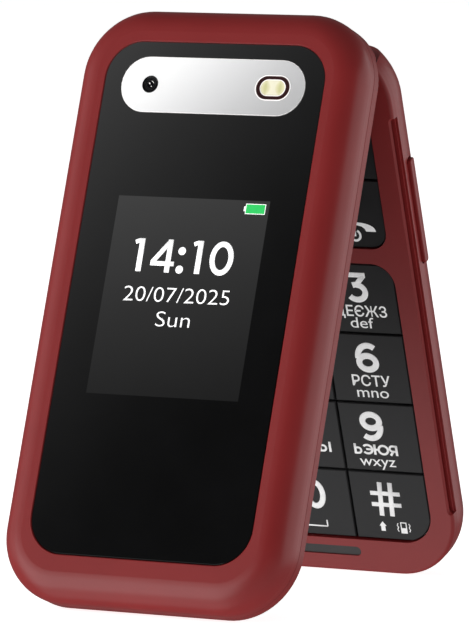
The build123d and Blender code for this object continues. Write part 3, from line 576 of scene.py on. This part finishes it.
def lettering(bm, words, cap, width, matrix, weight=0.0):
    """Adds flat letters of a capital height and whole width; the place is mid base line."""
    curve = bpy.data.curves.new("words", "FONT")
    curve.body = words
    curve.size = 1 / CAP_SHARE
    curve.offset = weight / cap
    curve.extrude = 0.5
    curve.resolution_u = 5
    mesh = as_mesh(curve)
    xs = [vertex.co.x for vertex in mesh.vertices]
    middle = (min(xs) + max(xs)) / 2
    sizes = Matrix.Diagonal((width * MM / (max(xs) - min(xs)), cap * MM, THICKNESS * MM, 1))
    mesh.transform(matrix @ sizes @ Matrix.Translation((-middle, 0, 0)))
    add_mesh(bm, mesh)


def round_path(x, y, wide, high, start, end, steps=26):
    """Centre line of part of an ellipse between two angles in degrees."""
    angles = [radians(start + (end - start) * step / steps) for step in range(steps + 1)]
    return [(x + wide * cos(angle), y + high * sin(angle)) for angle in angles]


def capsule_path(length, height, steps=14):
    """Closed centre line of a capsule, long way across."""
    half = (length - height) / 2
    radius = height / 2
    right_end = round_path(half, 0, radius, radius, -90, 90, steps)
    left_end = round_path(-half, 0, radius, radius, 90, 270, steps)
    return right_end + left_end + [(half, -radius)]


def drawn(bm, strokes, matrix):
    """Adds strokes of (width, centre line), in millimetres, pressed nearly flat."""
    curve = bpy.data.curves.new("strokes", "CURVE")
    curve.dimensions = "3D"
    curve.twist_mode = "Z_UP"
    curve.fill_mode = "FULL"
    curve.use_fill_caps = True
    curve.bevel_depth = 0.5 * MM
    curve.bevel_resolution = 2
    for width, path in strokes:
        ring = all(abs(first - last) < 1e-6 for first, last in zip(path[0], path[-1]))
        places = path[:-1] if ring else path
        spline = curve.splines.new("POLY")
        spline.points.add(len(places) - 1)
        for point, (x, y) in zip(spline.points, places):
            point.co = (x * MM, y * MM, 0, 1)
            point.radius = width
        spline.use_cyclic_u = ring
    mesh = as_mesh(curve)
    mesh.transform(matrix @ Matrix.Diagonal((1, 1, FLATTENED, 1)))
    add_mesh(bm, mesh)


def flat_shape(bm, outline, matrix):
    """Adds a thin closed plate from an outline of points in millimetres."""
    verts = [bm.verts.new((x * MM, y * MM, -THICKNESS / 2 * MM)) for x, y in outline]
    face = bm.faces.new(verts)
    grown = bmesh.ops.extrude_face_region(bm, geom=[face])
    top = [item for item in grown["geom"] if isinstance(item, bmesh.types.BMVert)]
    bmesh.ops.translate(bm, vec=(0, 0, THICKNESS * MM), verts=top)
    bmesh.ops.transform(bm, matrix=matrix, verts=verts + top)


def bar(bm, x, y, width, height, matrix):
    left, right = x - width / 2, x + width / 2
    low, high = y - height / 2, y + height / 2
    flat_shape(bm, [(left, low), (right, low), (right, high), (left, high)], matrix)


def turned_ring(bm, profile, matrix):
    """Adds a closed ring from a profile of (radius, height) points in millimetres."""
    loop = [bm.verts.new((radius * MM, 0, height * MM)) for radius, height in profile]
    edges = [bm.edges.new((loop[i], loop[(i + 1) % len(loop)])) for i in range(len(loop))]
    bmesh.ops.spin(
        bm,
        geom=loop + edges,
        cent=(0, 0, 0),
        axis=(0, 0, 1),
        steps=48,
        angle=radians(360),
        use_merge=True,
    )
    # earlier rings carry a tag, so only the new one is moved
    new = [vert for vert in bm.verts if not vert.tag]
    bmesh.ops.transform(bm, matrix=matrix, verts=new)
    for vert in new:
        vert.tag = True


def finish_piece(bm, name, material, body):
    """Turns a bmesh into a finished piece that rides on a body."""
    bmesh.ops.remove_doubles(bm, verts=bm.verts, dist=1e-7)
    bmesh.ops.recalc_face_normals(bm, faces=bm.faces)
    mesh = bpy.data.meshes.new(name)
    bm.to_mesh(mesh)
    bm.free()
    mesh.materials.append(material)
    piece = add_object(name, mesh)
    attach(piece, body)


# ---------------------------------------------------------------- outer screen
MARK_OUT = 8.012
CLOCK_DOWN = 37.15
DOTS_DOWN = 37.8
CLOCK_ONE = [
    (1.0, [(0.0, 2.85), (0.0, -2.8)]),
    (0.75, [(-1.25, 2.2), (-0.55, 2.48), (0.3, 2.48)]),
]
CLOCK_FOUR = [
    (0.95, [(0.0, 2.85), (0.0, -2.8)]),
    (0.85, [(0.0, 2.6), (-2.95, -1.15)]),
    (0.8, [(-3.25, -1.3), (1.15, -1.3)]),
]
CLOCK_ZERO = [(0.95, round_path(0, 0, 1.72, 2.45, 0, 360, 40))]
CLOCK_DOTS = [(0.7, round_path(0, y, 0.35, 0.35, 0, 360)) for y in (1.62, -1.55)]
CLOCK = [
    (CLOCK_ONE, -8.3, CLOCK_DOWN),
    (CLOCK_FOUR, -2.95, CLOCK_DOWN),
    (CLOCK_DOTS, -0.6, DOTS_DOWN),
    (CLOCK_ONE, 2.7, CLOCK_DOWN),
    (CLOCK_ZERO, 6.93, CLOCK_DOWN),
]

time_marks = bmesh.new()
for strokes, x, down in CLOCK:
    drawn(time_marks, strokes, on_lid(x, down, MARK_OUT))
lettering(time_marks, "20/07/2025", 2.6, 19.75, on_lid(-0.33, 45.03, MARK_OUT), weight=-0.05)
lettering(time_marks, "Sun", 2.65, 6.35, on_lid(-0.24, 49.18, MARK_OUT), weight=-0.05)
finish_piece(time_marks, "clock_and_date", ink_white, "lid")

GAUGE = on_lid(11.7, 28.52, MARK_OUT)
GAUGE_LENGTH = 3.5
charge = bmesh.new()
bar(charge, 0, 0, GAUGE_LENGTH, 1.56, GAUGE)
finish_piece(charge, "charge_level", ink_green, "lid")

charge_outline = bmesh.new()
for side in (-1, 1):
    bar(charge_outline, side * 1.8, 0, 0.1, 1.76, GAUGE)
    bar(charge_outline, 0, side * 0.83, GAUGE_LENGTH, 0.1, GAUGE)
bar(charge_outline, -2.0, 0, 0.3, 0.8, GAUGE)
finish_piece(charge_outline, "charge_outline", ink_white, "lid")


# ---------------------------------------------------------------- camera trim, and painted glints and highlights on the lens, plate and flash
lens_trim = bmesh.new()
turned_ring(
    lens_trim,
    [(1.50, 0.0), (1.47, 0.07), (1.38, 0.09), (1.22, 0.05), (1.18, 0.0)],
    on_lid(LENS_X, PLATE_DOWN, 8.09),
)
finish_piece(lens_trim, "lens_trim", lens_black, "lid")

lens_steps = bmesh.new()
for radius, height in ((1.02, 0.012), (0.74, 0.008)):
    turned_ring(
        lens_steps,
        [(radius, 0.0), (radius - 0.02, height), (radius - 0.07, height), (radius - 0.09, 0.0)],
        on_lid(LENS_X, PLATE_DOWN, 8.0),
    )
finish_piece(lens_steps, "lens_steps", matt_black, "lid")

# painted glints on the lens: short pale strokes and an arc
PAINTED_GLINTS = [
    (0.17, [(-0.30, 0.30), (-0.06, 0.04)]),
    (0.15, [(0.16, -0.24), (0.28, -0.40)]),
    (0.07, round_path(0, 0, 0.62, 0.62, 20, 75)),
]
painted_glint_marks = bmesh.new()
drawn(painted_glint_marks, PAINTED_GLINTS, on_lid(LENS_X, PLATE_DOWN, 8.01))
finish_piece(painted_glint_marks, "lens_painted_glints", pale_painted_highlight, "lid")

# painted highlights: two pale glowing capsule lines round the flash
flash_ring_painted_highlights = bmesh.new()
drawn(flash_ring_painted_highlights, [(0.22, capsule_path(6.42, 4.22))], on_lid(FLASH_X, PLATE_DOWN, 8.1))
drawn(flash_ring_painted_highlights, [(0.2, capsule_path(4.72, 2.82))], on_lid(FLASH_X, PLATE_DOWN, 8.12))
finish_piece(flash_ring_painted_highlights, "flash_ring_painted_highlights", pale_painted_highlight, "lid")

PLATE_HEIGHT = 9.64
RIM_INSET = 0.22
plate_low, plate_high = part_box("camera_plate")
plate_length = (plate_high[0] - plate_low[0]) / MM
# painted highlight: a pale glowing line just inside the plate's edge
painted_rim_marks = bmesh.new()
drawn(
    painted_rim_marks,
    [(0.17, capsule_path(plate_length - RIM_INSET, PLATE_HEIGHT - RIM_INSET))],
    on_lid(0, PLATE_DOWN, 8.095),
)
finish_piece(painted_rim_marks, "camera_plate_painted_rim_highlight", pale_painted_highlight, "lid")


# ---------------------------------------------------------------- digits
def star_arm(angle):
    """One of the three strokes of the star, through its middle."""
    x, y = 1.75 * cos(radians(angle)), 1.75 * sin(radians(angle))
    return 0.8, [(x, 0.9 + y), (-x, 0.9 - y)]


SIX = [
    (1.15, round_path(0.03, -0.97, 1.59, 1.28, 0, 360, 36)),
    (1.1, round_path(0.35, 0.0, 2.0, 2.23, 186, 52)),
]
DIGITS = {
    "0": [(1.08, round_path(0, 0, 1.52, 2.27, 0, 360, 40))],
    "1": [(1.1, [(0.35, 2.8), (0.35, -2.8)]), (0.95, [(-1.3, 2.33), (0.5, 2.33)])],
    "2": [
        (1.05, round_path(-0.1, 1.05, 1.5, 1.22, 165, -32) + [(-1.2, -1.95)]),
        (0.95, [(-1.95, -2.33), (2.0, -2.33)]),
    ],
    "3": [
        (0.9, [(-1.18, 2.31), (2.02, 2.31)]),
        (0.95, [(1.62, 2.2), (-0.1, 0.2)]),
        (1.08, [(-0.62, 0.40), (0.0, 0.53)] + round_path(0, -0.87, 1.63, 1.38, 88, -145)),
    ],
    "4": [
        (1.0, [(0.35, 2.8), (-1.75, -0.95)]),
        (0.95, [(-2.25, -1.15), (2.2, -1.15)]),
        (1.05, [(1.0, 0.4), (1.0, -2.8)]),
    ],
    "5": [
        (0.95, [(-1.45, 2.31), (1.75, 2.31)]),
        (0.95, [(-1.2, 2.6), (-1.38, 0.1)]),
        (1.08, [(-1.5, 0.28), (-0.4, 0.55)] + round_path(-0.05, -0.87, 1.66, 1.4, 88, -145)),
    ],
    "6": SIX,
    "7": [(0.95, [(-2.0, 2.31), (2.05, 2.31)]), (1.1, [(1.55, 2.4), (-0.75, -2.8)])],
    "8": [
        (1.05, round_path(0, 1.25, 1.32, 1.03, 0, 360, 32)),
        (1.08, round_path(0, -1.17, 1.62, 1.16, 0, 360, 36)),
    ],
    "9": [(width, [(-x, -y) for x, y in path]) for width, path in SIX],
    "*": [star_arm(angle) for angle in (90, 30, 150)],
    "#": [
        (0.9, [(-0.80, 3.05), (-1.16, -3.35)]),
        (0.9, [(1.18, 3.05), (0.82, -3.35)]),
        (0.8, [(-2.83, 0.93), (2.83, 0.93)]),
        (0.8, [(-2.83, -1.2), (2.83, -1.2)]),
    ],
}


# ---------------------------------------------------------------- capitals that are drawn
KEY_OUT = 0.438
CAP_HALF = 0.97  # half the height of a drawn capital
WIDENED = Matrix.Diagonal((1.08, 1, 1, 1))


def stem(x):
    """Upright stroke of a capital."""
    return 0.43, [(x, CAP_HALF), (x, -CAP_HALF)]


def bowl(shift):
    """Lower round stroke of a capital, moved to the right."""
    line = [(-0.5, 0.09)] + round_path(0.0, -0.42, 0.5, 0.51, 90, -90, 12) + [(-0.5, -0.93)]
    return 0.38, [(x + shift, y + 0.13) for x, y in line]


COMB = [stem(x) for x in (-1.05, 0, 1.05)]
LETTERS = {
    "Ь": (1.5, [stem(-0.52), bowl(0.0)]),
    "Э": (
        1.75,
        [
            (0.41, round_path(-0.12, 0, 0.85, 0.8, 140, -140, 20)),
            (0.37, [(-0.35, 0.0), (0.7, 0.0)]),
        ],
    ),
    "Ю": (
        2.5,
        [
            stem(-1.08),
            (0.37, [(-1.1, 0.0), (-0.4, 0.0)]),
            (0.41, round_path(0.42, 0, 0.82, 0.8, 0, 360, 24)),
        ],
    ),
    "Я": (
        1.65,
        [
            stem(0.55),
            (
                0.38,
                [(0.5, 0.81)] + round_path(-0.12, 0.31, 0.5, 0.5, 90, 270, 12) + [(0.5, -0.19)],
            ),
            (0.43, [(-0.02, -0.15), (-0.55, -0.97)]),
        ],
    ),
    "Ы": (2.2, [stem(-0.9), bowl(-0.38), stem(0.85)]),
    "Ъ": (1.9, [stem(-0.35), bowl(0.17), (0.37, [(-0.95, 0.82), (-0.3, 0.82)])]),
    "Ш": (2.5, COMB + [(0.37, [(-1.1, -0.82), (1.1, -0.82)])]),
    "Щ": (
        2.6,
        COMB + [(0.37, [(-1.1, -0.82), (1.35, -0.82)]), (0.37, [(1.3, -0.7), (1.3, -1.3)])],
    ),
}


def drawn_row(bm, words, width, x, base_line):
    """A row of drawn capitals, spread evenly over a width in millimetres."""
    room = width - sum(LETTERS[letter][0] for letter in words)
    gap = room / (len(words) - 1)
    left = x - width / 2
    for letter in words:
        wide, strokes = LETTERS[letter]
        place = on_keys(left + wide / 2, base_line - CAP_HALF, KEY_OUT)
        drawn(bm, strokes, place @ WIDENED)
        left += wide + gap


# ---------------------------------------------------------------- signs on the keys
KEYPAD_START = 37.44
PITCH_X = 44.48 / 3
PITCH_Y = (89.55 - KEYPAD_START) / 4


def voice_mail(bm, place):
    """Two spools on a tape."""
    drawn(bm, [(0.28, round_path(side * 1.5, 0, 0.85, 0.85, 0, 360)) for side in (-1, 1)], place)
    bar(bm, 0, -0.85, 3.0, 0.28, place)


def space_sign(bm, place):
    """A flat open bracket."""
    line = [(-2.0, 0.65), (-2.0, -0.55), (2.0, -0.55), (2.0, 0.65)]
    drawn(bm, [(0.27, line[:2]), (0.27, line[1:3]), (0.27, line[2:])], place)


def padlock(bm, place):
    bar(bm, 0, -0.35, 1.7, 1.25, place)
    drawn(bm, [(0.24, round_path(0, 0.28, 0.52, 0.6, 0, 180))], place)


def capital_arrow(bm, place):
    """An upward arrow."""
    arrow = [
        (-0.4, -0.9),
        (0.4, -0.9),
        (0.4, 0.05),
        (0.67, 0.05),
        (0, 0.9),
        (-0.67, 0.05),
        (-0.4, 0.05),
    ]
    flat_shape(bm, arrow, place)


def shaken_phone(bm, place):
    """A small phone between two waves."""
    bar(bm, 0, -0.55, 1.18, 1.0, place)
    bar(bm, 0, 0.97, 1.18, 0.17, place)
    for side in (-1, 1):
        bar(bm, side * 0.5, 0.42, 0.18, 0.95, place)
        wave = [(side * (1.02 + 0.2 * (step % 2)), 0.85 - 0.4 * step) for step in range(5)]
        drawn(bm, [(0.18, wave)], place)


# what draws a sign, and where, across and down
SIGNS = {
    "key_1": [(voice_mail, -PITCH_X, KEYPAD_START + 9.6)],
    "key_star": [(padlock, -PITCH_X, KEYPAD_START + 3 * PITCH_Y + 10.0)],
    "key_0": [(space_sign, 0, 87.15)],
    "key_hash": [(capital_arrow, 12.8, 86.93), (shaken_phone, 16.78, 87.04)],
}


# ---------------------------------------------------------------- number key legends
DIGIT_LEFT = 0.14  # the digits stand this far left of the words
DIGIT_DROP = 4.45
LAST_ROW_DIGIT_DROP = 5.07
UPPER_DROP = 9.80
UPPER_CAP = 1.93
LOWER_DROP = 11.95
LOWER_CAP = 1.98
# digit, its shift to the right, capitals and their width, small letters and their width
KEY_WORDS = {
    "key_1": ("1", 0.0, "", 0, "", 0),
    "key_2": ("2", 0.0, "АБВГҐ", 9.4, "abc", 4.9),
    "key_3": ("3", 0.0, "ДЕЄЖЗ", 10.0, "def", 4.4),
    "key_4": ("4", 0.0, "ИІЇЙК", 8.4, "ghi", 3.9),
    "key_5": ("5", 0.0, "ЛМНОП", 10.4, "jkl", 2.6),
    "key_6": ("6", 0.0, "РСТУ", 7.2, "mno", 6.0),
    "key_7": ("7", 0.0, "ФХЦЧ", 8.6, "pqrs", 5.6),
    "key_8": ("8", 0.0, "ШЩЪЫ", 10.1, "tuv", 4.4),
    "key_9": ("9", -1.12, "ЬЭЮЯ", 8.3, "wxyz", 6.8),
    "key_star": ("*", 0.0, "", 0, "", 0),
    "key_0": ("0", 0.6, "", 0, "", 0),
    "key_hash": ("#", -0.58, "", 0, "", 0),
}
for index, (name, legend) in enumerate(KEY_WORDS.items()):
    digit, shift, upper, upper_width, lower, lower_width = legend
    row, column = divmod(index, 3)
    x = (column - 1) * PITCH_X + shift
    top = KEYPAD_START + row * PITCH_Y
    drop = DIGIT_DROP if row < 3 else LAST_ROW_DIGIT_DROP
    marks = bmesh.new()
    drawn(marks, DIGITS[digit], on_keys(x - DIGIT_LEFT, top + drop, KEY_OUT))
    if upper:
        base_line = top + UPPER_DROP
        if set(upper) <= set(LETTERS):
            drawn_row(marks, upper, upper_width, x, base_line)
        else:
            place = on_keys(x, base_line, KEY_OUT)
            lettering(marks, upper, UPPER_CAP, upper_width, place, weight=0.03)
        place = on_keys(x, top + LOWER_DROP, KEY_OUT)
        lettering(marks, lower, LOWER_CAP, lower_width, place)
    for draw_sign, sign_x, sign_down in SIGNS.get(name, []):
        draw_sign(marks, on_keys(sign_x, sign_down, KEY_OUT))
    finish_piece(marks, f"legend_{name}", grey_print_painted_glow, f"{name}_body")


# ---------------------------------------------------------------- navigation marks
def handset(bm, place, size=1.0):
    """A plain telephone receiver seen from the side, arched over two blocks."""
    reach, rise, squareness, steps = 4.0, 1.62, 0.87, 14
    angles = [radians(90 * step / steps) for step in range(steps)]
    back = [(reach * cos(a) ** squareness, rise * sin(a) ** squareness) for a in angles]
    inner = [(0, 1.12), (0.75, 1.06), (1.5, 0.87), (2.0, 0.45), (2.2, 0.0)]
    for side in (-1, 1):
        outline = [(side * size * x, size * y) for x, y in inner + back] + [(0, size * rise)]
        flat_shape(bm, outline if side > 0 else outline[::-1], place)


end_marks = bmesh.new()
handset(end_marks, on_keys(16.1, 31.44, KEY_OUT))
drawn(
    end_marks,
    [(0.42, round_path(0, 0, 0.97, 0.97, 120, 420)), (0.4, [(0, 0.9), (0, -0.2)])],
    on_keys(16.1, 32.2, KEY_OUT),
)
finish_piece(end_marks, "legend_end_key", grey_print_painted_glow, "end_key_body")

call_marks = bmesh.new()
# the call key's green print glows: painted light
handset(call_marks, on_keys(-15.6, 29.6, KEY_OUT) @ Matrix.Rotation(radians(42), 4, "Z"), 0.8)
finish_piece(call_marks, "legend_call_key", ink_green, "call_key_body")

for side, name in ((-1, "soft_key_left"), (1, "soft_key_right")):
    marks = bmesh.new()
    drawn(marks, [(0.5, [(-2.1, 0), (2.1, 0)])], on_keys(side * 16.3, 16.3, KEY_OUT))
    finish_piece(marks, f"legend_{name}", grey_print_painted_glow, f"{name}_body")

RING_DOWN = 22.5
ring_marks = bmesh.new()
for quarter in range(4):
    turned = on_keys(0, RING_DOWN, KEY_OUT) @ Matrix.Rotation(radians(90 * quarter), 4, "Z")
    away = 8.6 if quarter % 2 == 0 else 7.4
    flat_shape(ring_marks, [(-0.7, away - 0.6), (0.7, away - 0.6), (0, away + 0.4)], turned)
finish_piece(
    ring_marks, "legend_navigation_ring", grey_print_painted_glow, "navigation_ring_body"
)


# ---------------------------------------------------------------- painted shade in screw recesses, and contacts
SCREW_FACE = 0.6
CROSS_LENGTH = 1.35
CROSS_WIDTH = 0.3
# painted shade: flat dark crosses on the screw heads stand in for their shaded cross recesses
screw_cross_shade = bmesh.new()
for x, down in ((22.0, 12.8), (19.0, 90.2)):
    for side in (-1, 1):
        head = in_lid(side * x, down, SCREW_FACE)
        bar(screw_cross_shade, 0, 0, CROSS_LENGTH, CROSS_WIDTH, head)
        bar(screw_cross_shade, 0, 0, CROSS_WIDTH, CROSS_LENGTH, head)
finish_piece(screw_cross_shade, "lid_screw_recess_painted_shade", slot_black, "lid")

TONGUE_MIDDLE = 4.3
TONGUE_HALF = 0.35
TONGUE_DOWN = 93.7
PADS = 12
PAD_PITCH = 0.5
PAD_WIDTH = 0.28
PAD_LENGTH = 2.8
contacts = bmesh.new()
for face, level in ((on_keys, TONGUE_MIDDLE - TONGUE_HALF), (on_back, TONGUE_MIDDLE + TONGUE_HALF)):
    place = face(0, TONGUE_DOWN, level)
    for pad in range(PADS):
        bar(contacts, (pad - (PADS - 1) / 2) * PAD_PITCH, 0, PAD_WIDTH, PAD_LENGTH, place)
finish_piece(contacts, "charging_contacts", gilt, "base")


# ---------------------------------------------------------------- stage and light
WHITE = (1, 1, 1, 1)
FLOOR_GLOW = 0.84
WORLD_LIGHT = 0.15


def make_floor():
    bm = bmesh.new()
    bmesh.ops.create_grid(bm, x_segments=2, y_segments=2, size=14.0)
    mesh = bpy.data.meshes.new("floor")
    bm.to_mesh(mesh)
    bm.free()
    floor = add_object("floor", mesh)
    material, tree, shader = new_material("pale_floor")
    tint_between(
        tree, shader, noise(tree, local_position(tree), 3), (0.9, 0.9, 0.9), (0.93, 0.93, 0.93)
    )
    shader.inputs["Roughness"].default_value = 0.9
    shader.inputs["Specular IOR Level"].default_value = 0.0
    shader.inputs["Emission Color"].default_value = WHITE
    shader.inputs["Emission Strength"].default_value = FLOOR_GLOW
    mesh.materials.append(material)
    floor.visible_glossy = False
    floor.visible_shadow = False


def area_light(name, place, aim, width, height, power, mirrored=True):
    """A soft box; one that is not mirrored lights surfaces without a highlight in them."""
    lamp = bpy.data.lights.new(name, "AREA")
    lamp.shape = "RECTANGLE"
    lamp.size = width
    lamp.size_y = height
    lamp.energy = power
    light = add_object(name, lamp)
    turn = (Vector(aim) - Vector(place)).to_track_quat("-Z", "Y").to_matrix().to_4x4()
    light.matrix_world = Matrix.Translation(place) @ turn
    light.visible_glossy = mirrored


make_floor()
world = bpy.data.worlds.new("studio")
bpy.context.scene.world = world
world.use_nodes = True
background = world.node_tree.nodes["Background"]
background.inputs["Color"].default_value = WHITE
background.inputs["Strength"].default_value = WORLD_LIGHT
area_light("overhead", (0.1, -0.5, 1.6), (0, 0, 0), 1.6, 1.2, 2.5, mirrored=False)
area_light("left_key", (-1.2, -0.6, 0.86), (0, 0, 0.05), 1.5, 1.3, 11.2, mirrored=False)
area_light("left_sheen", (-1.25, -0.40, 0.22), (0, 0, 0.05), 1.0, 0.9, 1.7)
area_light("right_wall", (1.35, 0.85, 0.25), (0, 0, 0.05), 2.8, 1.4, 15)
area_light("low_front", (-0.55, -0.85, -0.12), (0, 0, 0.04), 1.0, 0.9, 7.5)
area_light("under_front", (-0.50, -0.60, -0.85), (0, 0, 0.04), 0.9, 0.9, 2.4)
